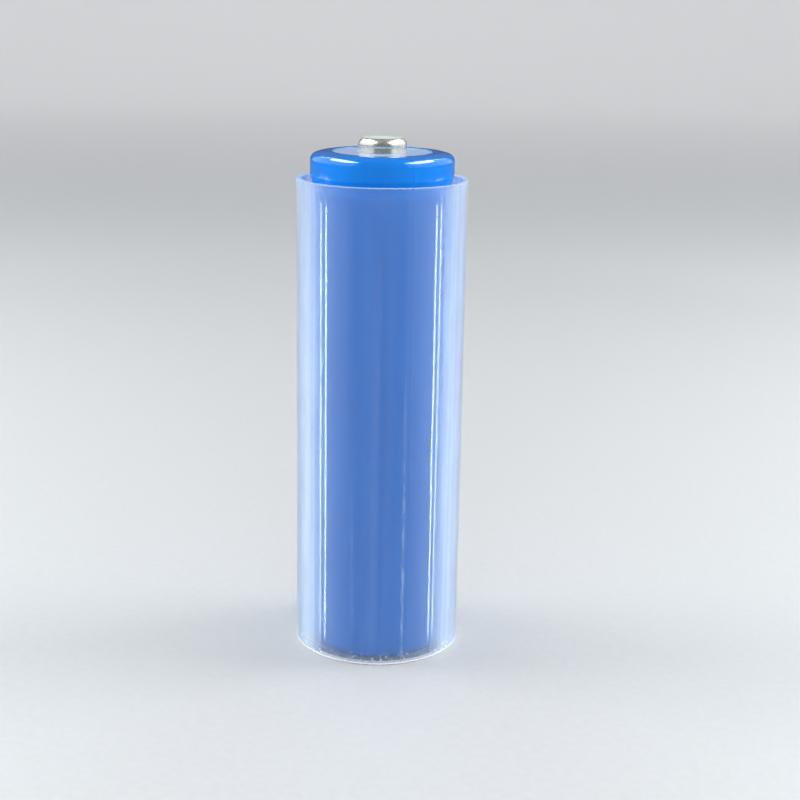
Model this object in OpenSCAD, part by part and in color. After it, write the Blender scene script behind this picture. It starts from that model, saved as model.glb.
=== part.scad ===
// Wound cylindrical lithium-ion cell with a raised positive button, standing
// in a loose translucent storage and adapter sleeve. Millimetres, +Z up, the
// origin is on the axis in the plane that the cell and the sleeve stand on.

/* [Cell] */
// Diameter over the shrink wrap
cell_d = 18.35; // [18.2:0.05:18.6]
// Height of the crimped rim of the can
rim_z = 65.7; // [64.9:0.1:66.5]
// Height of the button above the crimped rim
button_rise = 2.1; // [1.6:0.05:2.4]
// Diameter of the button
button_d = 6.2; // [5.4:0.1:6.6]
// Thickness of the shrink wrap
wrap_t = 0.09; // [0.08:0.01:0.12]
// Wall of the steel can
can_t = 0.25; // [0.2:0.01:0.28]
// Diameter of the hole that the wrap leaves over the washer
wrap_hole_d = 12.6; // [11:0.1:13]

/* [Winding] */
// Number of turns of the electrode winding
turns = 15; // [8:1:15]
// Growth of the radius in one turn
pitch = 0.4; // [0.36:0.01:0.4]

/* [Sleeve] */
// Outer diameter of the sleeve
sleeve_d = 22.0; // [21.6:0.1:24]
// Wall of the sleeve
sleeve_wall = 0.7; // [0.5:0.05:1]
// Length of the sleeve
sleeve_len = 62.6; // [50:0.1:66]

/* [Hidden] */
$fn = 96;

gap = 0.01;                              // play between two parts that touch
can_r = cell_d / 2 - wrap_t - gap;       // outside of the can
bore_r = can_r - can_t;                  // inside of the can
can_z = wrap_t + gap;                    // underside of the can, above the wrap's lip
base_t = 0.3;                            // base of the can
floor_z = can_z + base_t;                // inside face of that base
foot_r = 0.9;                            // outside corner radius of the base
rim_r = 0.9;                             // outside corner radius of the crimp
rim_hole_r = 7.3;                        // opening that the crimped rim leaves
bead_drop = 3.65;                        // from the crimped rim down to the rolled groove
bead_z = rim_z - bead_drop;              // middle of the groove
bead_r = 0.9;                            // radius of the groove's section
bead_x = can_r - 0.05;                   // centre of the groove's section

// Points of an arc about [x, y] from angle a to angle b.
function arc(x, y, r, a, b, n = 8) =
    [for (i = [0:n]) let (t = a + (b - a) * i / n) [x + r * cos(t), y + r * sin(t)]];

function reversed(p) = [for (i = [len(p) - 1:-1:0]) p[i]];

// The two sides of a strip of thickness t along a path, as one outline.
function path_normal(p, i) =
    let (a = p[max(i - 1, 0)], b = p[min(i + 1, len(p) - 1)], d = b - a)
    [-d.y, d.x] / norm(d);
function ribbon(p, t) = concat(
    [for (i = [0:len(p) - 1]) p[i] + path_normal(p, i) * t / 2],
    [for (i = [len(p) - 1:-1:0]) p[i] - path_normal(p, i) * t / 2]
);

// A flat ring between two radii, from height z up by t.
module ring(r_in, r_out, z, t) {
    translate([0, 0, z])
        difference() {
            cylinder(r = r_out, h = t);
            translate([0, 0, -1]) cylinder(r = r_in, h = t + 2);
        }
}

// Extrudes by h from height z.
module linear_extrude_at(z, h) {
    translate([0, 0, z]) linear_extrude(h) children();
}

// Its children, count times round the axis.
module around(count, start = 0) {
    for (i = [0:count - 1])
        rotate(start + 360 * i / count) children();
}

// A strip cut to a width and bent along a path in the XZ plane.
module bent_strip(path, t, width) {
    rotate([90, 0, 0])
        linear_extrude(width, center = true)
            polygon(ribbon(path, t));
}

// ---------------------------------------------------------------- sleeve

sleeve_edge = 0.12;                      // small break of the sleeve's cut edges

module outer_sleeve() {
    r_out = sleeve_d / 2;
    r_in = r_out - sleeve_wall;
    e = sleeve_edge;
    color([0.88, 0.93, 1.0, 0.45])
        rotate_extrude()
            polygon([
                [r_in + e, 0], [r_out - e, 0], [r_out, e],
                [r_out, sleeve_len - e], [r_out - e, sleeve_len],
                [r_in + e, sleeve_len], [r_in, sleeve_len - e], [r_in, e]
            ]);
}

// ------------------------------------------------------- wrap and terminal

washer_t = 0.18;                         // paper washer under the wrap's edge
washer_r = 7.6;
washer_play = 0.1;                       // between the washer and the button
washer_z = rim_z + gap;
wrap_step_z = washer_z + washer_t + gap; // underside of the wrap on the washer

// Side of the wrap at distance d from the can, from its foot to its top edge.
wrap_dip = 0.28;                         // how far the wrap sinks into the groove
wrap_dip_h = bead_r - 0.02;              // half height of that dip
wrap_dip_r = (wrap_dip_h ^ 2 + wrap_dip ^ 2) / (2 * wrap_dip);
function wrap_side(d) =
    let (half = asin(wrap_dip_h / wrap_dip_r), r = can_r + d)
    concat(
        arc(can_r - foot_r, can_z + foot_r, foot_r + d, -88, 0),
        arc(r + wrap_dip_r - wrap_dip, bead_z, wrap_dip_r, 180 + half, 180 - half, 10),
        arc(can_r - rim_r, rim_z - rim_r, rim_r + d, 0, 90, 10),
        [[washer_r + 0.05, wrap_step_z + d - gap], [wrap_hole_d / 2, wrap_step_z + d - gap]]
    );
module shrink_wrap() {
    color([0.05, 0.36, 0.85])
        rotate_extrude()
            polygon(concat(wrap_side(gap + wrap_t), reversed(wrap_side(gap))));
}

module insulator_washer() {
    color([0.92, 0.93, 0.95])
        ring(button_d / 2 + washer_play, washer_r, washer_z, washer_t);
}

button_t = 0.25;                         // sheet of the button
button_flange_r = 4.8;
button_edge_r = 0.9;                     // rounding of its shoulder
button_neck = 0.05;                      // how far the wall is drawn in under the shoulder
button_neck_z = rim_z + button_rise - 1.2;

// Outline of the button's face at depth d from the outer one, from its foot to the middle.
function button_side(d) =
    let (
        r = button_d / 2 - d, top = rim_z + button_rise - d, edge = button_edge_r - d,
        foot_z = d > 0 ? rim_z - button_t : rim_z
    )
    concat(
        [[r, foot_z], [r - button_neck, button_neck_z]],
        arc(r - edge, top - edge, edge, 0, 90),
        [[0, top]]
    );

module positive_button() {
    color([0.78, 0.77, 0.72])
        rotate_extrude()
            polygon(concat(
                [[button_flange_r, rim_z - button_t], [button_flange_r, rim_z]],
                button_side(0),
                reversed(button_side(button_t))
            ));
}

// ----------------------------------------- header: parts inside the crimp

header_play = 0.02;                      // between the parts of the header
gasket_t = 0.36;                         // wall of the gasket
stack_r = bore_r - gasket_t - 2 * header_play;
cap_plate_z = rim_z - button_t - gap;    // top face of the flat cap
cap_t = 0.3;
cap_rim_z = rim_z - 1.0;                 // underside of the cap's rim
cap_rim_t = 0.36;
cap_step_r = 5.6;                        // where the cap steps up from its rim
cap_window = [0.8, 2.4, 1.4];            // vent window cut through that step
ptc_t = 0.3;
ptc_hole_r = 4.6;
ptc_z = cap_rim_z - ptc_t - header_play;
vent_t = 0.3;
vent_nub_r = 1.5;                        // flat nub in the middle of the vent disc
vent_score_r = 3.9;                      // ring scored in the disc, where it tears
disc_rim_z = ptc_z - vent_t - header_play;
cid_ring_z = disc_rim_z - 0.46;          // underside of the insulator's ring
cid_disc_z = cid_ring_z - 0.38;          // underside of the contact disc
cid_disc_t = 0.31;
cid_hole_r = 4.9;
cid_skirt_r = 6.7;                       // skirt that holds the contact disc
cid_skirt_t = 0.25;
gasket_lip_z = bead_z + bead_r + can_t + 0.03;

module top_cap() {
    color([0.75, 0.76, 0.78])
        difference() {
            rotate_extrude()
                polygon([
                    [0, cap_plate_z - cap_t], [cap_step_r - 0.4, cap_plate_z - cap_t],
                    [cap_step_r, cap_rim_z], [stack_r, cap_rim_z],
                    [stack_r, cap_rim_z + cap_rim_t], [cap_step_r + 0.3, cap_rim_z + cap_rim_t],
                    [cap_step_r, cap_plate_z], [0, cap_plate_z]
                ]);
            around(4, 45)
                translate([cap_step_r - 0.1, 0, cap_rim_z + 0.4])
                    cube(cap_window, center = true);
        }
}

module ptc_ring() {
    color([0.25, 0.25, 0.27])
        ring(ptc_hole_r, stack_r, ptc_z, ptc_t);
}

module vent_disc() {
    nub_z = cid_disc_z + cid_disc_t + gap;
    nub_top_z = nub_z + vent_t - 0.06;
    top_z = disc_rim_z + vent_t;
    color([0.82, 0.84, 0.86])
        rotate_extrude()
            polygon([
                [0, nub_z], [vent_nub_r, nub_z], [ptc_hole_r, disc_rim_z], [stack_r, disc_rim_z],
                [stack_r, top_z], [ptc_hole_r - 0.2, top_z],
                [vent_score_r + 0.1, top_z - 0.08], [vent_score_r, top_z - 0.2],
                [vent_score_r - 0.1, top_z - 0.14], [vent_nub_r - 0.1, nub_top_z], [0, nub_top_z]
            ]);
}

module cid_insulator() {
    skirt_z = cid_disc_z - 0.1;
    top_z = disc_rim_z - gap;
    color([0.93, 0.93, 0.9])
        rotate_extrude()
            polygon([
                [cid_hole_r, cid_ring_z], [cid_skirt_r, cid_ring_z], [cid_skirt_r, skirt_z],
                [cid_skirt_r + cid_skirt_t, skirt_z], [cid_skirt_r + cid_skirt_t, cid_ring_z],
                [stack_r, cid_ring_z], [stack_r, top_z], [cid_hole_r, top_z]
            ]);
}

module cid_disc() {
    hole_r = 0.7;
    holes_at = 4.0;
    color([0.8, 0.82, 0.84])
        difference() {
            translate([0, 0, cid_disc_z]) cylinder(r = cid_skirt_r - 0.05, h = cid_disc_t);
            around(6)
                translate([holes_at, 0, cid_disc_z - 1]) cylinder(r = hole_r, h = cid_disc_t + 2);
        }
}

module crimp_gasket() {
    top_z = rim_z - can_t - header_play;
    inside_z = cap_rim_z + cap_rim_t + header_play;
    in_r = stack_r + header_play;
    lip_r = cid_skirt_r + cid_skirt_t + 0.1;
    color([0.85, 0.86, 0.84])
        rotate_extrude()
            polygon(concat(
                [[lip_r, gasket_lip_z], [bore_r - header_play, gasket_lip_z]],
                arc(can_r - rim_r, rim_z - rim_r, rim_r - can_t - header_play, 0, 90),
                [
                    [rim_hole_r + 0.05, top_z], [rim_hole_r + 0.05, inside_z],
                    [in_r, inside_z], [in_r, cid_ring_z - gap], [lip_r, cid_ring_z - gap]
                ]
            ));
}

// ------------------------------------------------------------------- can

module steel_can() {
    bead_in = bead_r + can_t;
    bead_a = acos((bore_r - bead_x) / bead_in);
    color([0.72, 0.73, 0.75])
        rotate_extrude()
            polygon(concat(
                [[0, can_z]],
                arc(can_r - foot_r, can_z + foot_r, foot_r, -90, 0),
                [[can_r, bead_z - bead_r]],
                arc(bead_x, bead_z, bead_r, 270, 90, 14),
                [[can_r, bead_z + bead_r]],
                arc(can_r - rim_r, rim_z - rim_r, rim_r, 0, 90, 10),
                [[rim_hole_r, rim_z], [rim_hole_r, rim_z - can_t]],
                arc(can_r - rim_r, rim_z - rim_r, rim_r - can_t, 90, 0, 10),
                arc(bead_x, bead_z, bead_in, bead_a, 360 - bead_a, 14),
                arc(can_r - foot_r, can_z + foot_r, foot_r - can_t, 0, -60, 6),
                [[can_r - foot_r - 0.05, floor_z], [0, floor_z]]
            ));
}

// --------------------------------------------------------------- winding

core_r = 1.95;                           // inside of the first turn
steps = 24;                              // flats in one turn
roll_z = 0.95;                           // lower end of the separators
roll_top_z = bead_z - 1.55;              // upper end of the separators
anode_margin = 0.6;                      // how far the separators stand past the anode
cathode_margin = 1.1;                    // and past the cathode
// Places of the four layers within one pitch, as shares of it.
layers = [[0, 0.0625], [0.0875, 0.4625], [0.4875, 0.55], [0.575, 0.975]];

// One layer of the winding, from z up to top.
module wound_sheet(layer, z, top) {
    n = turns * steps;
    function side(share) =
        [for (i = [0:n]) let (a = 360 * i / steps, r = core_r + pitch * (i / steps + share))
            [r * cos(a), r * sin(a)]];
    translate([0, 0, z])
        linear_extrude(top - z)
            polygon(concat(side(layers[layer][0]), reversed(side(layers[layer][1]))));
}

module inner_separator() {
    color([0.95, 0.95, 0.95]) wound_sheet(0, roll_z, roll_top_z);
}

module cathode_sheet() {
    color([0.18, 0.18, 0.2]) wound_sheet(1, roll_z + cathode_margin, roll_top_z - cathode_margin);
}

module outer_separator() {
    color([0.95, 0.95, 0.95]) wound_sheet(2, roll_z, roll_top_z);
}

module anode_sheet() {
    color([0.45, 0.28, 0.2]) wound_sheet(3, roll_z + anode_margin, roll_top_z - anode_margin);
}

pin_r = 1.5;                             // rolled tube in the core of the winding
pin_wall = 0.3;
pin_slit = 0.3;
pin_taper = [0.15, 0.6];                 // how far its ends narrow, and over what length

module center_pin() {
    z = roll_z + 0.05;
    top = roll_top_z - 0.2;
    bore = pin_r - pin_wall;
    tip = pin_r - pin_taper.x;
    color([0.7, 0.71, 0.73])
        difference() {
            rotate_extrude()
                polygon([
                    [bore, z], [tip, z], [pin_r, z + pin_taper.y],
                    [pin_r, top - pin_taper.y], [tip, top], [bore, top]
                ]);
            translate([-pin_slit / 2, -pin_r - 1, z - 1]) cube([pin_slit, pin_r + 1, top - z + 2]);
        }
}

tape_r = bore_r - 0.07;                  // outside of the tape round the winding
tape_t = 0.05;
tape_margin = 3;                         // bare winding above and below the tape

module roll_tape() {
    color([0.2, 0.6, 0.45])
        ring(tape_r - tape_t, tape_r, roll_z + tape_margin, roll_top_z - roll_z - 2 * tape_margin);
}

insulator_t = 0.2;                       // fibre discs at the ends of the winding
top_hole_r = 2.3;                        // hole for the cathode tab
bottom_hole_r = 1.5;                     // hole for the weld at the core
bottom_r = 7.6;

module top_insulator() {
    z = roll_top_z + 0.1;
    wetting_hole_r = 0.8;
    holes_at = 5.4;
    color([0.9, 0.92, 0.9])
        difference() {
            ring(top_hole_r, bore_r - 0.2, z, insulator_t);
            around(6, 30)
                translate([holes_at, 0, z - 1]) cylinder(r = wetting_hole_r, h = insulator_t + 2);
        }
}

module bottom_insulator() {
    color([0.9, 0.92, 0.9])
        ring(bottom_hole_r, bottom_r, floor_z + 0.15, insulator_t);
}

// ------------------------------------------------------------------ tabs

tab_t = 0.1;
cathode_tab_w = 2.4;
anode_tab_w = 3;
anode_tab_top_z = 22;                    // how far the anode tab runs up beside the winding

module cathode_tab() {
    r = core_r - 0.2;                    // between the pin and the first turn
    half_arc = 48;                       // half of the angle that its foot wraps round the pin
    foot_h = 3;
    low_z = roll_top_z + 0.75;           // run above the top insulator
    high_z = cid_disc_z - gap - tab_t / 2;
    first_bend = 0.3;
    fold = (high_z - low_z) / 2;         // radius of the fold back to the middle
    fold_x = 4.6;
    end_x = -1.6;
    color([0.83, 0.84, 0.86])
        union() {
            linear_extrude_at(low_z - foot_h, foot_h)
                polygon(concat(
                    arc(0, 0, r + tab_t / 2, -half_arc, half_arc, 12),
                    arc(0, 0, r - tab_t / 2, half_arc, -half_arc, 12)
                ));
            bent_strip(
                concat(
                    [[r - 0.02, low_z - 2 * first_bend]],
                    arc(r - 0.02 + first_bend, low_z - first_bend, first_bend, 180, 90, 5),
                    arc(fold_x, low_z + fold, fold, -90, 90, 10),
                    [[end_x, high_z]]
                ),
                tab_t, cathode_tab_w
            );
        }
}

module anode_tab() {
    z = floor_z + gap + tab_t / 2;
    x = bore_r - 0.33;                   // between the winding and the can
    bend = 0.5;
    end_x = -1.2;                        // past the middle, where it is welded to the base
    color([0.78, 0.78, 0.76])
        bent_strip(
            concat([[end_x, z]], arc(x - bend, z + bend, bend, -90, 0, 6), [[x, anode_tab_top_z]]),
            tab_t, anode_tab_w
        );
}

// ----------------------------------------------------------------- output

outer_sleeve();
shrink_wrap();
insulator_washer();
positive_button();
top_cap();
ptc_ring();
vent_disc();
cid_insulator();
cid_disc();
crimp_gasket();
steel_can();
top_insulator();
cathode_tab();
center_pin();
cathode_sheet();
anode_sheet();
inner_separator();
outer_separator();
roll_tape();
anode_tab();
bottom_insulator();
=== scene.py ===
"""Looks of a wrapped cylindrical cell that stands in a loose translucent sleeve.

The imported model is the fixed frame. Four of its nodes are stood for by finer meshes: the sleeve
with its cut ends, the shrunk film with its folds and puckers, the paper washer and the pressed
button. The other nodes keep their shape and get a material. Lengths are in metres, and MM is one
millimetre. Angles about the axis run from the front, -Y, towards +X.
"""
import math

import bpy
import numpy as np
from mathutils import Matrix, Vector

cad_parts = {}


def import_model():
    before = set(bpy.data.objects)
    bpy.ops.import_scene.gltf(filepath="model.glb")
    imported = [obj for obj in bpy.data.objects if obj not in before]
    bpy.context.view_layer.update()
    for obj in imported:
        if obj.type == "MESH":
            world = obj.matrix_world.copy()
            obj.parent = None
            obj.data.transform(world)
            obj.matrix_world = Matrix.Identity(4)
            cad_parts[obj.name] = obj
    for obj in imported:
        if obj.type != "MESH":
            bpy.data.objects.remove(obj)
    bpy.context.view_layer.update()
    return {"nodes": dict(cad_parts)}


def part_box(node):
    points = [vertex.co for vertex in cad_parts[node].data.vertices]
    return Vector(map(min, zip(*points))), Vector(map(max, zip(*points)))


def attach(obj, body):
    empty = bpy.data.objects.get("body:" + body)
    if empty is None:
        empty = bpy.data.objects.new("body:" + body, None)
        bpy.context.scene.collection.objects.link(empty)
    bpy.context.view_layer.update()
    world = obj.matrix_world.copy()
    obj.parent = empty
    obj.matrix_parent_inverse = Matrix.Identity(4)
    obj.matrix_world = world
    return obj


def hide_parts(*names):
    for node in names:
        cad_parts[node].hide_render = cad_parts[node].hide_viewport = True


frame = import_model()

MM = 0.001
SEED = 18

# ------------------------------------------------------------- sizes from the frame


def radii(node):
    """The least and greatest distance of a node's vertices from the axis."""
    r = [math.hypot(v.co.x, v.co.y) for v in frame["nodes"][node].data.vertices]
    return min(r), max(r)


def groove_height(node):
    """Height of the narrowest place in the top fifth of a round node, its rounded rim left out."""
    low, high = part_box(node)
    bottom, top = low.z + 0.8 * (high.z - low.z), high.z - 1.5 * MM
    points = [
        (math.hypot(v.co.x, v.co.y), v.co.z)
        for v in frame["nodes"][node].data.vertices
        if bottom < v.co.z < top
    ]
    return min(points)[1]


SLEEVE_IN, SLEEVE_OUT = radii("outer_sleeve")
SLEEVE_MIDDLE = (SLEEVE_IN + SLEEVE_OUT) / 2
SLEEVE_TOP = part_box("outer_sleeve")[1].z
WRAP_HOLE_R, CELL_R = radii("shrink_wrap")
GROOVE_Z = groove_height("shrink_wrap")
WASHER_IN, WASHER_OUT = radii("insulator_washer")
WASHER_LOW, WASHER_TOP = (corner.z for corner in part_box("insulator_washer"))
RIM_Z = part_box("steel_can")[1].z
BUTTON_LOW, BUTTON_TOP = (corner.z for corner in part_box("positive_button"))
BUTTON_FLANGE_R = radii("positive_button")[1]

# Ridges that the die left along the sleeve: the angle of each in degrees and its height in MM.
DIE_LINES = ((18.2, 0.014), (-17.0, 0.005), (139.0, 0.012), (-142.0, 0.008))
VEIL_POWER = 3.0                         # how fast the sleeve turns milky where it is seen aslant
LEAST_COSINE = 0.2                       # the slant beyond which it turns no milkier
FOOT_H = 0.32 * MM                       # height of the whitened cut at the sleeve's foot
SLEEVE_FLARE = 0.05 * MM                 # how far the sleeve's two lips stand out
NICK_Z, NICK_SIZE = 54.7 * MM, 0.35 * MM  # a small nick on the sleeve's left side
FILM_T = 0.07 * MM
FILM_SKIN = 0.025 * MM                   # room that folds and puckers take outside the film
FILM_RIDGES = (26.4, 206.4)              # angles of the flat tube's two fold lines, in degrees
GROOVE_NEAR, GROOVE_FAR = 0.8 * MM, 1.6 * MM  # from its middle: dull up to, fully glossy from

# ------------------------------------------------------------------ mesh tools


def arc(x, z, r, start, end, steps):
    """Points of an arc about (x, z), with angles in degrees from +x towards +z."""
    return [
        (x + r * math.cos(math.radians(a)), z + r * math.sin(math.radians(a)))
        for a in np.linspace(start, end, steps + 1)
    ]


def line(a, b, steps):
    """Points from a towards b, without the last one."""
    return [tuple(np.array(a) + (np.array(b) - np.array(a)) * i / steps) for i in range(steps)]


def mesh_object(name, points, faces, materials, face_slots=None):
    """A smooth-shaded mesh object made from points and faces."""
    mesh = bpy.data.meshes.new(name)
    mesh.from_pydata([tuple(p) for p in points], [], faces)
    for material in materials:
        mesh.materials.append(material)
    if face_slots is not None:
        mesh.polygons.foreach_set("material_index", face_slots)
    mesh.polygons.foreach_set("use_smooth", [True] * len(mesh.polygons))
    mesh.validate()
    mesh.update()
    piece = bpy.data.objects.new(name, mesh)
    bpy.context.scene.collection.objects.link(piece)
    return piece


def revolve(name, profile, segments, materials, shape=None, ring_slots=None):
    """A closed solid of revolution from a closed profile of (radius, height) points.

    shape(angle, r, z) may move each point and returns a new r and z. ring_slots(a, b) gives the
    material slot between two points of the profile. The profile runs so that the solid lies on its
    left. A profile that starts and ends on the axis is closed by a pole at each end.
    """
    profile = np.array(profile, float)
    poled = profile[0, 0] == 0 and profile[-1, 0] == 0
    rings = profile[1:-1] if poled else profile
    angle = np.arange(segments) * 2 * math.pi / segments
    r = np.repeat(rings[:, :1], segments, axis=1)
    z = np.repeat(rings[:, 1:], segments, axis=1)
    turn = np.repeat(angle[None, :], len(rings), axis=0)
    if shape is not None:
        r, z = shape(turn, r, z)
    points = np.stack([r * np.sin(turn), -r * np.cos(turn), z], axis=-1).reshape(-1, 3)
    faces, slots = [], []
    last = len(rings) - 1 if poled else len(rings)
    for i in range(last):
        j = (i + 1) % len(rings)
        slot = ring_slots(rings[i], rings[j]) if ring_slots else 0
        for k in range(segments):
            n = (k + 1) % segments
            low, high = i * segments, j * segments
            faces.append((low + k, low + n, high + n, high + k))
            slots.append(slot)
    if poled:
        first, final = len(points), len(points) + 1
        points = np.vstack([points, [0, 0, profile[0, 1]], [0, 0, profile[-1, 1]]])
        base = (len(rings) - 1) * segments
        for k in range(segments):
            n = (k + 1) % segments
            faces.append((first, n, k))
            faces.append((final, base + k, base + n))
            slots += [0, 0]
    return mesh_object(name, points, faces, materials, slots)


def waves(angle, z, terms, seed):
    """A smooth wavy field from -1 to 1 over a barrel: a sum of random waves round and along it.

    terms is a list of (greatest number of waves round, waves per metre along, how many). With 0 for
    z the field is the same all along the barrel.
    """
    rng = np.random.default_rng(seed)
    total, weight = np.zeros_like(angle), 0.0
    for around, along, count in terms:
        for _ in range(count):
            n = int(rng.integers(0, around + 1))
            k = rng.uniform(-along, along) * 2 * math.pi
            share = rng.uniform(0.4, 1.0)
            total = total + share * np.sin(n * angle + k * z + rng.uniform(0, 2 * math.pi))
            weight += share**2
    usual_peak = 1.5 * math.sqrt(weight)
    return np.clip(total / usual_peak, -1, 1)


def ridge(angle, at, width, radius):
    """1 on a line along the barrel at an angle in degrees, falling to 0 within width."""
    away = (angle - math.radians(at) + math.pi) % (2 * math.pi) - math.pi
    return np.exp(-((away * radius / width) ** 2))


def step_between(value, low, high):
    """0 below low and 1 above high, smooth between."""
    t = np.clip((value - low) / (high - low), 0, 1)
    return t * t * (3 - 2 * t)


# -------------------------------------------------------------- material tools


class Surface:
    """A node material under construction."""

    def __init__(self, name):
        self.material = bpy.data.materials.new(name)
        self.material.use_nodes = True
        self.tree = self.material.node_tree
        self.tree.nodes.clear()
        self.place = self.add("TexCoord").outputs["Object"]

    def add(self, kind, inputs=None, **settings):
        """A node with its settings and its inputs, each a value or a socket to link."""
        node = self.tree.nodes.new("ShaderNode" + kind)
        for key, value in settings.items():
            setattr(node, key, value)
        for key, value in (inputs or {}).items():
            if isinstance(value, bpy.types.NodeSocket):
                self.tree.links.new(value, node.inputs[key])
            else:
                node.inputs[key].default_value = value
        return node

    def stretched(self, scale):
        """The object's coordinates, each multiplied by its own scale."""
        return self.add("Mapping", {"Vector": self.place, "Scale": scale}).outputs["Vector"]

    def noise(self, scale, detail=3.0, roughness=0.5, distortion=0.0):
        """Noise from 0 to 1, with scale in cells per metre along x, y and z."""
        return self.add(
            "TexNoise",
            {
                "Vector": self.stretched(scale),
                "Scale": 1.0,
                "Detail": detail,
                "Roughness": roughness,
                "Distortion": distortion,
            },
        ).outputs["Fac"]

    def ranged(self, value, from_low, from_high, to_low, to_high, smooth=False):
        """The value taken from one range to another, clamped."""
        return self.add(
            "MapRange",
            {
                "Value": value,
                "From Min": from_low,
                "From Max": from_high,
                "To Min": to_low,
                "To Max": to_high,
            },
            interpolation_type="SMOOTHSTEP" if smooth else "LINEAR",
        ).outputs["Result"]

    def maths(self, operation, *values, clamp=False):
        """A Math node's value."""
        return self.add(
            "Math", dict(enumerate(values)), operation=operation, use_clamp=clamp
        ).outputs[0]

    def blend(self, share, a, b):
        """Colour a at share 0 and colour b at share 1."""
        node = self.add("Mix", data_type="RGBA")
        for socket, value in ((0, share), (6, a), (7, b)):
            if isinstance(value, bpy.types.NodeSocket):
                self.tree.links.new(value, node.inputs[socket])
            else:
                node.inputs[socket].default_value = value
        return node.outputs[2]

    def bump(self, height, distance, normal=None):
        """A normal bent by a height, whose full range stands for distance."""
        inputs = {"Height": height, "Distance": distance}
        if normal is not None:
            inputs["Normal"] = normal
        return self.add("Bump", inputs).outputs["Normal"]

    def coordinate(self, axis):
        """One of the object's coordinates, in metres."""
        return self.add("SeparateXYZ", {"Vector": self.place}).outputs[axis]

    def around(self):
        """The angle about the object's axis, in radians."""
        forward = self.maths("MULTIPLY", self.coordinate("Y"), -1.0)
        return self.maths("ARCTAN2", self.coordinate("X"), forward)

    def slant(self):
        """0 where a surface is seen head on and 1 where it is seen edge on, from either side."""
        return self.add("LayerWeight", {"Blend": 0.5}).outputs["Facing"]

    def mirrored(self):
        """The share of light that a clear wall's surface mirrors, from either side."""
        head_on = 0.04
        rise = self.maths("POWER", self.slant(), 5.0)
        return self.maths("MULTIPLY_ADD", rise, 1 - head_on, head_on)

    def mottled(self, field, a, b, high=0.65):
        """A colour that runs from a to b with a noise field."""
        return self.blend(self.ranged(field, 0.35, high, 0, 1), a, b)

    def mean(self, a, b, share_a=0.5):
        """A weighted mean of two values."""
        return self.maths(
            "ADD", self.maths("MULTIPLY", a, share_a), self.maths("MULTIPLY", b, 1 - share_a)
        )

    def cloudy(self, tint, normal, share_through, hide):
        """Clear plastic with a share hide of cloud in it, which also lets some light on through."""
        front = self.add("BsdfDiffuse", {"Color": tint, "Normal": normal}).outputs["BSDF"]
        through = self.add("BsdfTranslucent", {"Color": tint, "Normal": normal}).outputs["BSDF"]
        milk = self.add("MixShader", {"Fac": share_through, 1: front, 2: through}).outputs[0]
        clear = self.add("BsdfTransparent").outputs["BSDF"]
        return self.add("MixShader", {"Fac": hide, 1: clear, 2: milk}).outputs[0]

    def finish(self, shader):
        """Sets what the material shows, and returns the material."""
        self.add("OutputMaterial", {"Surface": shader})
        return self.material

    def principled(self, **inputs):
        """Finishes with one Principled shader. An underscore in a name stands for a space."""
        named = {key.replace("_", " "): value for key, value in inputs.items()}
        return self.finish(self.add("BsdfPrincipled", named).outputs["BSDF"])


def rgb(red, green, blue):
    """A colour in linear light."""
    return (red, green, blue, 1.0)


# ------------------------------------------------------------------- materials


def film_material():
    """Glossy blue heat-shrink film: flow lines along the barrel, faint smudges, rub marks."""
    s = Surface("wrap_film")
    flow = s.noise((900, 900, 30), detail=4, roughness=0.6)
    cloud = s.noise((120, 120, 80), detail=2)
    rubs = s.noise((3000, 3000, 260), detail=6, roughness=0.7)
    colour = s.mottled(s.mean(flow, cloud), rgb(0.002, 0.195, 0.73), rgb(0.003, 0.228, 0.80))
    from_groove = s.maths("ABSOLUTE", s.maths("SUBTRACT", s.coordinate("Z"), GROOVE_Z))
    dulled = s.ranged(from_groove, GROOVE_NEAR, GROOVE_FAR, 0.3, 0.0, smooth=True)
    normal = s.bump(s.noise((420, 420, 160), detail=2), 0.012 * MM)
    normal = s.bump(s.noise((5200, 5200, 5200), detail=2), 0.0008 * MM, normal=normal)
    return s.principled(
        Base_Color=colour,
        Roughness=s.maths("ADD", s.ranged(rubs, 0.45, 0.8, 0.05, 0.15), dulled),
        IOR=1.54,
        Specular_IOR_Level=s.ranged(from_groove, GROOVE_NEAR, GROOVE_FAR, 0.1, 0.5),
        Coat_Weight=s.ranged(from_groove, GROOVE_NEAR, GROOVE_FAR, 0.0, 0.3),
        Coat_Roughness=0.04,
        Normal=normal,
    )


def film_edge_material():
    """The cut edge of the film, paler where it is thin."""
    s = Surface("wrap_cut_edge")
    grain = s.noise((6000, 6000, 6000), detail=3)
    return s.principled(
        Base_Color=s.blend(grain, rgb(0.10, 0.42, 0.90), rgb(0.28, 0.62, 0.98)),
        Roughness=s.ranged(grain, 0.3, 0.7, 0.2, 0.4),
        Normal=s.bump(grain, 0.01 * MM),
    )


def sleeve_veil(s, strength, extra=None):
    """How much one surface of the wall hides of what is behind it, by its streaks and slant."""
    fine = s.noise((2600, 2600, 9), detail=5, roughness=0.65)
    broad = s.noise((330, 330, 7), detail=2)
    streaks = s.maths(
        "ADD", s.ranged(fine, 0.3, 0.7, 0.90, 1.10), s.ranged(broad, 0.35, 0.65, -0.12, 0.12)
    )
    cosine = s.maths("SUBTRACT", 1.0, s.slant())
    path = s.maths("POWER", s.maths("MAXIMUM", cosine, LEAST_COSINE), -VEIL_POWER)
    depth = s.maths("MULTIPLY", s.maths("MULTIPLY", path, streaks), strength)
    if extra is not None:
        depth = s.maths("ADD", depth, extra)
    return s.maths("SUBTRACT", 1.0, s.maths("EXPONENT", s.maths("MULTIPLY", depth, -1.0)))


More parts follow.
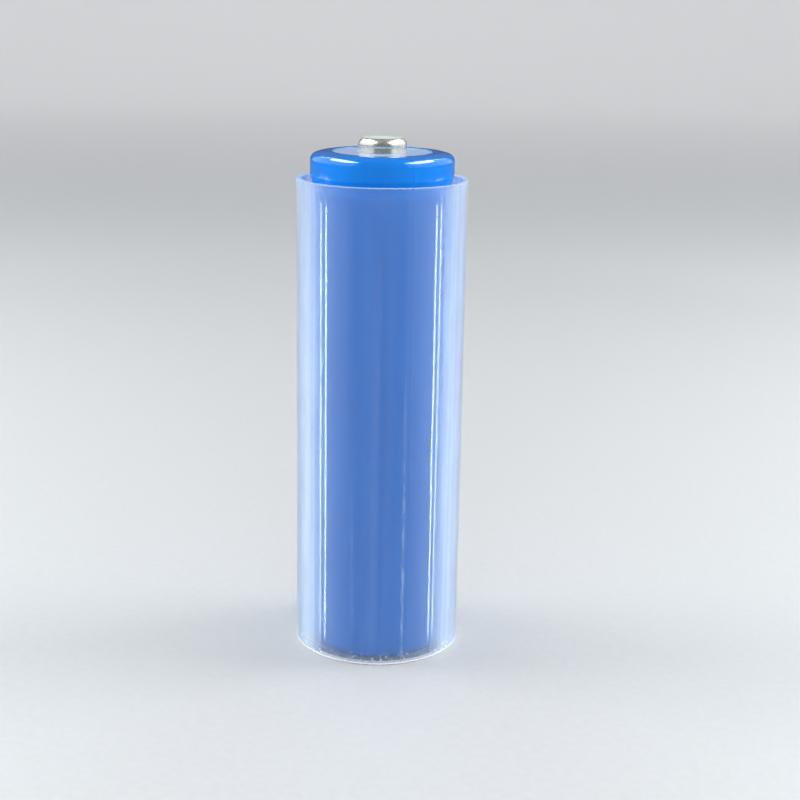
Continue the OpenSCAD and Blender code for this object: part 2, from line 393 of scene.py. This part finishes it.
def die_marks(s):
    """Extra haze on the lines that the die drew along the sleeve, strongest near the foot."""
    half_width = 0.036                   # in radians
    haze = 20                            # on the middle of a ridge, for each MM of its height
    around, height = s.around(), s.coordinate("Z")
    worn = s.noise((1500, 1500, 420), detail=4, roughness=0.7)
    total = None
    for at, ridge_height in DIE_LINES:
        away = s.maths("ABSOLUTE", s.maths("SUBTRACT", around, math.radians(at)))
        mask = s.ranged(away, 0.0, half_width, ridge_height * haze, 0.0, smooth=True)
        total = mask if total is None else s.maths("ADD", total, mask)
    scuffed = s.ranged(worn, 0.42, 0.62, 0.5, 1.6)
    upper = s.ranged(height, 14 * MM, 42 * MM, 1.0, 0.15)
    return s.maths("MULTIPLY", total, s.maths("MULTIPLY", scuffed, upper))


def foot_scuffs(s):
    """Extra haze in small burrs and rubbed spots just above the sleeve's foot."""
    grit = s.noise((2600, 2600, 1900), detail=4, roughness=0.75)
    spots = s.ranged(grit, 0.56, 0.64, 0.0, 1.8)
    low = s.ranged(s.coordinate("Z"), 0.9 * MM, 2.0 * MM, 1.0, 0.0, smooth=True)
    return s.maths("MULTIPLY", spots, low)


def specks(s, density, size):
    """1 on small specks, which one cell in five has, and 0 elsewhere."""
    place = s.stretched((density, density, density))
    cells = s.add("TexVoronoi", {"Vector": place, "Scale": 1.0})
    near = s.maths("LESS_THAN", cells.outputs["Distance"], size)
    draw = s.add("SeparateColor", {"Color": cells.outputs["Color"]}).outputs[0]
    return s.maths("MULTIPLY", near, s.maths("GREATER_THAN", draw, 0.8))


def sleeve_material(name, strength, roughness, marked=False):
    """Milky extruded plastic: a veil over what is behind, thicker where it is seen aslant.

    strength is the veil's depth where it is seen head on. A marked one shows the die's lines.
    """
    s = Surface(name)
    marks = s.maths("ADD", die_marks(s), foot_scuffs(s)) if marked else None
    veil = sleeve_veil(s, strength, marks)
    hide = s.maths("MAXIMUM", veil, s.maths("MULTIPLY", specks(s, 700, 0.06), 0.35))
    grain = s.noise((3200, 3200, 14), detail=4, roughness=0.6)
    wavy = s.noise((260, 260, 22), detail=2)
    normal = s.bump(wavy, 0.03 * MM)
    normal = s.bump(grain, 0.0016 * MM, normal=normal)
    drawn = s.noise((1100, 1100, 8), detail=4, roughness=0.6)
    tint = s.mottled(drawn, rgb(0.43, 0.545, 0.71), rgb(0.58, 0.66, 0.77))
    if marks is not None:
        marked_share = s.maths("MULTIPLY", marks, 3.0, clamp=True)
        tint = s.blend(marked_share, tint, rgb(0.66, 0.86, 1.0))
    body = s.cloudy(tint, normal, 0.35, hide)
    polish = s.ranged(grain, 0.3, 0.7, roughness * 0.8, roughness * 1.3)
    gloss = s.add("BsdfGlossy", {"Roughness": polish, "Normal": normal}).outputs["BSDF"]
    return s.finish(s.add("MixShader", {"Fac": s.mirrored(), 1: body, 2: gloss}).outputs[0])


def sleeve_cut_material(name, dark, light, hide_low, hide_high, share_through):
    """A sawn end of the sleeve: rough and frosted."""
    s = Surface(name)
    saw = s.noise((2400, 2400, 2400), detail=5, roughness=0.7)
    hide = s.ranged(saw, 0.3, 0.7, hide_low, hide_high)
    tint = s.blend(saw, dark, light)
    return s.finish(s.cloudy(tint, s.bump(saw, 0.03 * MM), share_through, hide))


def paper_material():
    """Calendered white insulating paper with faint fibres."""
    s = Surface("washer_paper")
    fibres = s.noise((2600, 2600, 2600), detail=6, roughness=0.7, distortion=1.5)
    cloud = s.noise((500, 500, 500), detail=2)
    shade = s.mean(fibres, cloud, 0.6)
    return s.principled(
        Base_Color=s.mottled(shade, rgb(0.31, 0.43, 0.68), rgb(0.40, 0.52, 0.78)),
        Roughness=s.ranged(fibres, 0.3, 0.7, 0.32, 0.5),
        Normal=s.bump(fibres, 0.006 * MM),
        Coat_Weight=0.15,
        Coat_Roughness=0.2,
    )


def metal_material(name, dark, light, roughness, brushed=(1500, 1500, 1500)):
    """Metal with faint tarnish and with fine marks, whose scale along x, y and z is brushed."""
    s = Surface(name)
    marks = s.noise(brushed, detail=5, roughness=0.65)
    tarnish = s.noise((350, 350, 350), detail=3)
    return s.principled(
        Base_Color=s.mottled(tarnish, dark, light),
        Metallic=1.0,
        Roughness=s.ranged(marks, 0.3, 0.7, roughness * 0.7, roughness * 1.4),
        Normal=s.bump(marks, 0.002 * MM),
    )


def coated_material(name, dark, light, roughness):
    """A dull coated, moulded or paper surface with a fine grain."""
    s = Surface(name)
    fine = s.noise((3000, 3000, 3000), detail=5, roughness=0.65)
    cloud = s.noise((250, 250, 250), detail=2)
    return s.principled(
        Base_Color=s.mottled(s.mean(fine, cloud), dark, light),
        Roughness=s.ranged(fine, 0.3, 0.7, roughness * 0.85, roughness * 1.15),
        Normal=s.bump(fine, 0.006 * MM),
    )


def nickel_button_material():
    """Bright pressed nickel plate, a little warm, with fine rings and duller on its flat top."""
    s = Surface("button_nickel")
    rings = s.noise((900, 900, 9000), detail=3)
    wear = s.noise((1600, 1600, 1600), detail=6, roughness=0.7)
    top_from, top_to = BUTTON_TOP - 0.12 * MM, BUTTON_TOP - 0.04 * MM
    on_top = s.ranged(s.coordinate("Z"), top_from, top_to, 0.0, 0.17)
    return s.principled(
        Base_Color=s.mottled(wear, rgb(0.80, 0.785, 0.71), rgb(0.72, 0.70, 0.62), high=0.7),
        Metallic=1.0,
        Roughness=s.maths("ADD", s.ranged(wear, 0.35, 0.75, 0.2, 0.36), on_top),
        Normal=s.bump(rings, 0.0015 * MM, normal=s.bump(wear, 0.003 * MM)),
    )


# ---------------------------------------------------------------------- pieces


def film_profile(offset):
    """One side of the film from its lip under the base to its edge on the washer.

    offset is how far that side lies outside the film's inner side.
    """
    r = CELL_R - FILM_SKIN + offset
    foot = 0.9 * MM                      # radius of the bend round the base
    foot_z = foot + 0.1 * MM
    corner = 0.82 * MM                   # radius of the bend at the top
    corner_z = RIM_Z + 0.02 * MM - corner
    dip, dip_half = 0.26 * MM, 1.0 * MM  # depth and half height of the groove
    low, high = GROOVE_Z - dip_half, GROOVE_Z + dip_half
    points = arc(r - offset - foot, foot_z, foot + offset, -86, 0, 10)
    points += line((r, foot_z), (r, low), 60)[1:]
    for share in np.linspace(0, 1, 21):
        sunk = dip * math.sin(math.pi * share) ** 1.5
        points.append((r - sunk, low + (high - low) * share))
    points += line((r, high), (r, corner_z), 8)[1:]
    points += arc(r - offset - corner, corner_z, corner + offset, 0, 78, 12)
    edge_z = WASHER_TOP + 0.012 * MM + offset
    ramp_low = (WASHER_OUT + 0.37 * MM, edge_z - 0.06 * MM)
    ramp_high, edge = (WASHER_OUT - 0.18 * MM, edge_z), (WRAP_HOLE_R, edge_z)
    points += line(ramp_low, ramp_high, 4) + line(ramp_high, edge, 12) + [edge]
    return points


def film_shape(angle, r, z):
    """Ripples, fold lines, puckers and the uneven ends of the shrunk film."""
    barrel = step_between(z, 0.8 * MM, 3 * MM)
    ripple = 0.5 + 0.5 * waves(angle, z, [(5, 30, 10), (12, 60, 10)], SEED)
    r = r + FILM_SKIN * 0.5 * ripple
    for at in FILM_RIDGES:
        r = r + FILM_SKIN * 0.9 * ridge(angle, at, 0.09 * MM, CELL_R) * barrel
    near_groove = np.exp(-(((z - GROOVE_Z) / (1.3 * MM)) ** 2)) * (r > CELL_R - 1.5 * MM)
    pucker = waves(angle, 0, [(70, 0, 26)], SEED + 1)
    r = r + 0.008 * MM * near_groove * pucker
    # The ring on top, where the film lies over the crimp and the washer.
    on_top = step_between(-r, -(CELL_R - 0.6 * MM), -(WASHER_OUT - 0.2 * MM)) * (z > GROOVE_Z)
    rise = waves(angle, 0, [(9, 0, 8), (34, 0, 12)], SEED + 2)
    z = z + 0.022 * MM * on_top * (0.6 + rise)
    # Its inner edge, which is uneven and has one crinkle.
    at_edge = step_between(-r, -(WRAP_HOLE_R + 0.6 * MM), -WRAP_HOLE_R) * (z > GROOVE_Z)
    r = r + 0.07 * MM * at_edge * waves(angle, 0, [(6, 0, 6), (26, 0, 8)], SEED + 3)
    crinkle = ridge(angle, 66, 0.35 * MM, WRAP_HOLE_R)
    z = z + 0.05 * MM * crinkle * at_edge
    r = r - 0.12 * MM * crinkle * at_edge
    # The edge turned under the base.
    under = 1 - step_between(z, 0.05 * MM, 0.5 * MM)
    r = r + 0.1 * MM * under * waves(angle, 0, [(14, 0, 10)], SEED + 4)
    return r, z


def shrink_film():
    """The blue film: one thin closed shell with its turned-over ends."""
    profile = film_profile(FILM_T) + film_profile(0.0)[::-1]
    edge_r = WRAP_HOLE_R + 0.1 * MM
    materials = [film_material(), film_edge_material()]
    film, cut_edge = range(2)

    def slot(a, b):
        return cut_edge if max(a[0], b[0]) < edge_r and a[1] > GROOVE_Z else film

    return revolve("shrink_film", profile, 720, materials, film_shape, slot)


def sleeve_profile():
    """Section of the sleeve with its cut ends, a little rounded."""
    out, inner = SLEEVE_OUT - SLEEVE_FLARE, SLEEVE_IN + 0.02 * MM
    edge, foot = 0.14 * MM, 0.2 * MM     # radii of the edges at the top and at the foot
    edge_z = SLEEVE_TOP - edge
    points = arc(out - foot, foot, foot, -90, 0, 5)
    points += [(out, FOOT_H)] + line((out, FOOT_H + 0.05 * MM), (out, edge_z), 90)
    points += arc(out - edge, edge_z, edge, 0, 90, 4)
    points += arc(inner + edge, edge_z, edge, 90, 180, 4)
    points += line((inner, edge_z), (inner, FOOT_H), 90)[1:] + [(inner, FOOT_H)]
    points += arc(inner + foot, foot, foot, 180, 270, 5)
    return points


def sleeve_shape(angle, r, z):
    """Slight waves of the drawn tube, its die's lines, a nick, flared lips and uneven cuts."""
    outside = r > SLEEVE_MIDDLE
    r = r + 0.018 * MM * waves(angle, z, [(3, 14, 8), (7, 28, 8)], SEED + 5)
    for at, height in DIE_LINES:
        r = r + height * MM * ridge(angle, at, 0.1 * MM, SLEEVE_OUT) * outside
    nick_high = np.exp(-(((z - NICK_Z) / NICK_SIZE) ** 2))
    nick = ridge(angle, -90, NICK_SIZE, SLEEVE_OUT) * nick_high
    r = r + 0.03 * MM * nick * outside
    foot_flare = 1 - step_between(z, FOOT_H, 3 * FOOT_H)
    top_flare = step_between(z, SLEEVE_TOP - 2.5 * MM, SLEEVE_TOP - 0.3 * MM)
    r = np.minimum(r + SLEEVE_FLARE * (foot_flare + top_flare) * outside, SLEEVE_OUT)
    at_foot = 1 - step_between(z, 0, 0.6 * MM)
    at_top = step_between(z, SLEEVE_TOP - 0.6 * MM, SLEEVE_TOP)
    rough = 1 + waves(angle, 0, [(12, 0, 8), (90, 0, 30)], SEED + 6)
    z = z + 0.03 * MM * at_foot * rough - 0.02 * MM * at_top * rough
    return r, z


def sleeve():
    """The translucent tube, with its own surface on the outside, the inside and the cut ends."""
    materials = [
        sleeve_material("sleeve_outside", 0.105, 0.36, marked=True),
        sleeve_material("sleeve_inside", 0.065, 0.42),
        sleeve_cut_material(
            "sleeve_cut_top", rgb(0.56, 0.74, 0.96), rgb(0.78, 0.88, 0.98), 0.5, 0.9, 0.4
        ),
        sleeve_cut_material(
            "sleeve_cut_foot", rgb(0.93, 0.96, 1.0), rgb(1.0, 1.0, 1.0), 0.95, 1.0, 0.05
        ),
    ]
    outside, inside, cut_top, cut_foot = range(4)

    def slot(a, b):
        z = (a[1] + b[1]) / 2
        if z < FOOT_H:
            return cut_foot
        if z > SLEEVE_TOP - 0.1 * MM:
            return cut_top
        return outside if a[0] > SLEEVE_MIDDLE else inside

    return revolve("tube_sleeve", sleeve_profile(), 720, materials, sleeve_shape, slot)


def washer():
    """The paper washer, slightly dished between the button and the film."""
    edge = 0.04 * MM
    edge_z = WASHER_TOP - edge
    profile = arc(WASHER_OUT - edge, edge_z, edge, 0, 90, 3)
    profile += line((WASHER_OUT - edge, WASHER_TOP), (WASHER_IN + edge, WASHER_TOP), 40)[1:]
    profile += arc(WASHER_IN + edge, edge_z, edge, 90, 180, 3)
    profile += [(WASHER_IN, WASHER_LOW), (WASHER_OUT, WASHER_LOW)]

    def shape(angle, r, z):
        loose = step_between(-r, -(WASHER_OUT - 1.2 * MM), -(WASHER_IN + 1.0 * MM))
        wave = waves(angle, r, [(5, 120, 8), (12, 300, 8)], SEED + 7)
        return r, z + 0.03 * MM * loose * (z > WASHER_LOW + edge) * (1 + wave)

    return revolve("paper_washer", profile, 360, [paper_material()], shape)


def button():
    """The pressed button: flange, drafted wall, broad rounded shoulder, slightly domed top."""
    wall = 0.25 * MM
    r = WASHER_IN - 0.1 * MM             # outside of the wall at the flange
    base = BUTTON_LOW + wall
    shoulder = 0.9 * MM                  # radius of the rounded shoulder
    eave = BUTTON_TOP - 0.05 * MM        # height at which the shoulder meets the domed top
    crease = BUTTON_TOP - 1.16 * MM      # height at which the wall meets the shoulder

    def side(d):
        """The button's section at a depth d under its outside, from the flange to the axis."""
        drafted = r - 0.05 * MM - d
        middle = (0, BUTTON_TOP - d)
        points = [(r - d, base - (wall if d else 0))]
        points += line((r - d, base + 0.1 * MM), (drafted, crease), 8)
        points += [(drafted, crease), (r - 0.01 * MM - d, crease + 0.08 * MM)]
        points += arc(r - shoulder, eave - shoulder, shoulder - d, 4, 84, 14)
        points += line((r - shoulder, eave - d), middle, 8) + [middle]
        return points

    flange = [(BUTTON_FLANGE_R, BUTTON_LOW), (BUTTON_FLANGE_R, base)]
    profile = side(wall)[::-1] + flange + side(0.0)
    return revolve("pressed_button", profile, 256, [nickel_button_material()])


def place(piece, body, slot, *nodes):
    """The piece rides on a body and stands for CAD nodes. Its slot argument is not used."""
    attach(piece, body)
    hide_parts(*nodes)


place(sleeve(), "sleeve", "sleeve_plastic", "outer_sleeve")
place(shrink_film(), "cell", "wrap_film", "shrink_wrap")
place(washer(), "cell", "washer_paper", "insulator_washer")
place(button(), "cell", "button_nickel", "positive_button")

# --------------------------------------------------------- materials of CAD nodes

STEEL = (rgb(0.52, 0.51, 0.48), rgb(0.66, 0.64, 0.60))
ALUMINIUM = (rgb(0.70, 0.71, 0.72), rgb(0.82, 0.83, 0.84))
BLACK = (rgb(0.03, 0.03, 0.033), rgb(0.06, 0.06, 0.065))
CATHODE = (rgb(0.03, 0.03, 0.034), rgb(0.06, 0.06, 0.065))
ANODE = (rgb(0.045, 0.04, 0.04), rgb(0.08, 0.07, 0.068))
CREAM = (rgb(0.78, 0.77, 0.70), rgb(0.88, 0.87, 0.82))
GREY = (rgb(0.60, 0.61, 0.58), rgb(0.74, 0.75, 0.71))
FIBRE = (rgb(0.72, 0.74, 0.68), rgb(0.84, 0.86, 0.82))
FIBRE_BASE = (rgb(0.70, 0.73, 0.68), rgb(0.83, 0.85, 0.80))
POROUS = (rgb(0.82, 0.82, 0.81), rgb(0.92, 0.92, 0.91))
GREEN = (rgb(0.03, 0.26, 0.14), rgb(0.07, 0.38, 0.22))
node_materials = {
    "steel_can": metal_material("can_nickel", *STEEL, 0.3, (900, 900, 60)),
    "top_cap": metal_material("cap_steel", *STEEL, 0.28),
    "vent_disc": metal_material("vent_aluminium", *ALUMINIUM, 0.35),
    "cid_disc": metal_material("cid_aluminium", *ALUMINIUM, 0.4),
    "cathode_tab": metal_material("tab_aluminium", *ALUMINIUM, 0.35, (2000, 2000, 80)),
    "anode_tab": metal_material("tab_nickel", *STEEL, 0.32, (2000, 2000, 80)),
    "center_pin": metal_material("pin_steel", *STEEL, 0.25, (1500, 1500, 60)),
    "ptc_ring": coated_material("ptc_polymer", *BLACK, 0.5),
    "cid_insulator": coated_material("cid_plastic", *CREAM, 0.4),
    "crimp_gasket": coated_material("gasket_plastic", *GREY, 0.45),
    "top_insulator": coated_material("insulator_fibre", *FIBRE, 0.7),
    "bottom_insulator": coated_material("base_fibre", *FIBRE_BASE, 0.7),
    "cathode_sheet": coated_material("cathode_coating", *CATHODE, 0.6),
    "anode_sheet": coated_material("anode_coating", *ANODE, 0.65),
    "inner_separator": coated_material("separator_inner", *POROUS, 0.55),
    "outer_separator": coated_material("separator_outer", *POROUS, 0.55),
    "roll_tape": coated_material("roll_tape_film", *GREEN, 0.25),
}
for node, material in node_materials.items():
    mesh = frame["nodes"][node].data
    mesh.materials.clear()
    mesh.materials.append(material)

# ----------------------------------------------------------------------- stage

AIM = (0, 0, 0.045)                      # what the key lights point at
CARD_R, LINE_R = 0.31, 0.29              # how far the broad and the narrow cards stand away
BELOW = (-0.15, 0.022)                   # heights of the cards that the barrel mirrors
LINE_HALF = 2.2                          # half width of a narrow card, in degrees
CARD_COLOUR = rgb(0.97, 0.98, 1.0)
LINE_COLOUR = rgb(0.80, 0.97, 1.0)
CAMERA_AT = Vector((2.4, -194.0, 84.8)) * MM
CAMERA_ANGLES = (14.88, 0.10, 0.95)      # down, to the right and rolled, in degrees
CAMERA_LENS = 67.96                      # focal length in millimetres, on a 36 mm wide sensor


def floor():
    """A plain pale round floor that turns up all round. Its colour is painted paler away from the
    object: painted light that makes up for the weaker light on the far floor and its raised rim.
    """
    flat, bend, height, segments = 0.9, 0.5, 1.6, 96
    path = line((0.002, 0.0), (flat, 0.0), 10) + arc(flat, bend, bend, -90, 0, 20)
    path.append((flat + bend, height))
    points = [
        (r * math.sin(k * math.tau / segments), -r * math.cos(k * math.tau / segments), z)
        for r, z in path for k in range(segments)
    ]
    faces = [tuple(range(segments))]
    for i in range(len(path) - 1):
        low, high = i * segments, (i + 1) * segments
        for k in range(segments):
            n = (k + 1) % segments
            faces.append((low + k, high + k, high + n, low + n))
    s = Surface("pale_floor")
    speckle = s.noise((900, 900, 900), detail=4)
    away = s.add("VectorMath", {0: s.place}, operation="LENGTH").outputs["Value"]
    spotted = s.ranged(speckle, 0.3, 0.7, 0, 1)
    near = s.blend(spotted, rgb(0.54, 0.545, 0.555), rgb(0.57, 0.575, 0.585))
    # Painted light: the floor's colour turns paler towards its far part and rim, where less light
    # falls.
    outer = s.ranged(away, 0.3, 1.0, 0, 1, smooth=True)
    colour = s.blend(outer, near, rgb(0.90, 0.905, 0.91))
    material = s.principled(Base_Color=colour, Roughness=s.ranged(speckle, 0.3, 0.7, 0.5, 0.6))
    piece = mesh_object("floor", points, faces, [material])
    piece.visible_glossy = False


def aimed(obj, position, target):
    """Puts an object at a position, with its -Z axis towards a target."""
    obj.location = position
    obj.rotation_euler = (Vector(target) - Vector(position)).to_track_quat("-Z", "Y").to_euler()


def polar(azimuth, elevation, distance):
    """A point by its angle about the axis, its angle up from AIM, and its distance from AIM."""
    a, e = math.radians(azimuth), math.radians(elevation)
    return (
        distance * math.sin(a) * math.cos(e),
        -distance * math.cos(a) * math.cos(e),
        AIM[2] + distance * math.sin(e),
    )


def softbox(name, position, target, size, power, colour=(1, 1, 1)):
    """A rectangular area light that glossy surfaces don't mirror."""
    light = bpy.data.lights.new(name, "AREA")
    light.shape = "RECTANGLE"
    light.size, light.size_y = size
    light.energy = power
    light.color = colour
    obj = bpy.data.objects.new(name, light)
    bpy.context.scene.collection.objects.link(obj)
    aimed(obj, position, target)
    obj.visible_glossy = False
    return obj


def reflector(
    name, azimuths, heights, strength, away, soft, soft_ends=0.0, colour=CARD_COLOUR
):
    """A bright upright sheet, bent round the object, that only mirror-like reflections see.

    It runs between two azimuths, in degrees, and two heights. Its glow fades to nothing over the
    share soft of its width and soft_ends of its height, at each edge.
    """
    (start, end), (low, high) = azimuths, heights
    columns, rows = 33, 13
    points, glow = [], []
    for i in np.linspace(0, 1, columns):
        a = math.radians(start + (end - start) * i)
        for j in np.linspace(0, 1, rows):
            points.append((away * math.sin(a), -away * math.cos(a), low + (high - low) * j))
            across = step_between(min(i, 1 - i), 0, soft)
            upward = step_between(min(j, 1 - j), 0, soft_ends) if soft_ends else 1
            glow.append(float(across * upward))
    faces = [
        (rows * i + j, rows * (i + 1) + j, rows * (i + 1) + j + 1, rows * i + j + 1)
        for i in range(columns - 1) for j in range(rows - 1)
    ]
    s = Surface(name)
    fading = s.add("Attribute", attribute_name="glow").outputs["Fac"]
    shine = {"Color": colour, "Strength": s.maths("MULTIPLY", fading, strength)}
    card = mesh_object(name, points, faces, [s.finish(s.add("Emission", shine).outputs[0])])
    layer = card.data.attributes.new("glow", "FLOAT", "POINT")
    layer.data.foreach_set("value", glow)
    card.visible_camera = False
    card.visible_diffuse = False
    card.visible_shadow = False
    card.visible_transmission = False


def camera():
    """The camera at the height, distance and slight roll of the photograph's."""
    pitch, yaw, roll = (math.radians(a) for a in CAMERA_ANGLES)
    level = math.cos(pitch)
    forward = Vector((math.sin(yaw) * level, math.cos(yaw) * level, -math.sin(pitch)))
    right = Vector((math.cos(yaw), -math.sin(yaw), 0))
    up = right.cross(forward)
    turned_right = right * math.cos(roll) + up * math.sin(roll)
    turned_up = up * math.cos(roll) - right * math.sin(roll)
    data = bpy.data.cameras.new("camera")
    data.sensor_width = 36
    data.lens = CAMERA_LENS
    data.clip_start, data.clip_end = 0.01, 20
    obj = bpy.data.objects.new("camera", data)
    bpy.context.scene.collection.objects.link(obj)
    axes = Matrix((turned_right, turned_up, -forward)).transposed()
    obj.matrix_world = Matrix.Translation(CAMERA_AT) @ axes.to_4x4()
    bpy.context.scene.camera = obj


def world():
    """Soft even light from all round."""
    scene_world = bpy.data.worlds.new("soft_room")
    bpy.context.scene.world = scene_world
    scene_world.use_nodes = True
    background = scene_world.node_tree.nodes["Background"]
    background.inputs["Color"].default_value = rgb(0.90, 0.94, 1.0)
    background.inputs["Strength"].default_value = 0.22


bpy.context.scene.view_settings.view_transform = "Standard"
camera()
world()
floor()

# Keys, strips and broad cards stand on both sides. The strips light nothing: glossy surfaces mirror
# them, which gives the highlights on the cell's shoulder.
for side, name, key_power in ((-1, "left", 1.46), (1, "right", 1.73)):
    softbox("key_" + name, polar(side * 99, 16, 0.45), AIM, (0.26, 0.30), key_power)
    start, end = (side * 0.24, 0.17, 0.36), (0, 0.17, 0.067)
    strip = softbox("strip_" + name, start, end, (0.65, 0.15), 4.6, (0.80, 0.96, 1.0))
    strip.visible_glossy = True
    strip.visible_diffuse = False
    strip.visible_transmission = False
    behind, beside = (side * 38, side * 150), (side * 38, side * 122)
    reflector("high_card_" + name, behind, (0.035, 0.45), 1.1, CARD_R, 0.08, 0.012)
    reflector("low_card_" + name, beside, BELOW, 0.6, CARD_R, 0.35)
reflector("front_card", (-20, 6), BELOW, 0.5, 0.19, 0.3)
reflector("back_card", (152, 208), (0.06, 0.35), 0.15, CARD_R, 0.2, 0.15)
softbox("front_fill", polar(0, 18, 0.60), (0, 0, 0.03), (0.4, 0.3), 1.1)
softbox("overhead", (0, 0, 2.4), (0, 0, 0), (2.0, 2.0), 20.0)

# Narrow cards, which the barrel mirrors as the two pairs of bright lines.
for name, middle, strength in (
    ("line_left_far", -111.0, 30), ("line_left", -97.0, 36),
    ("line_right", 98.5, 36), ("line_right_far", 110.0, 30),
):
    width = (middle - LINE_HALF, middle + LINE_HALF)
    reflector(name, width, BELOW, strength, LINE_R, 0.3, colour=LINE_COLOUR)
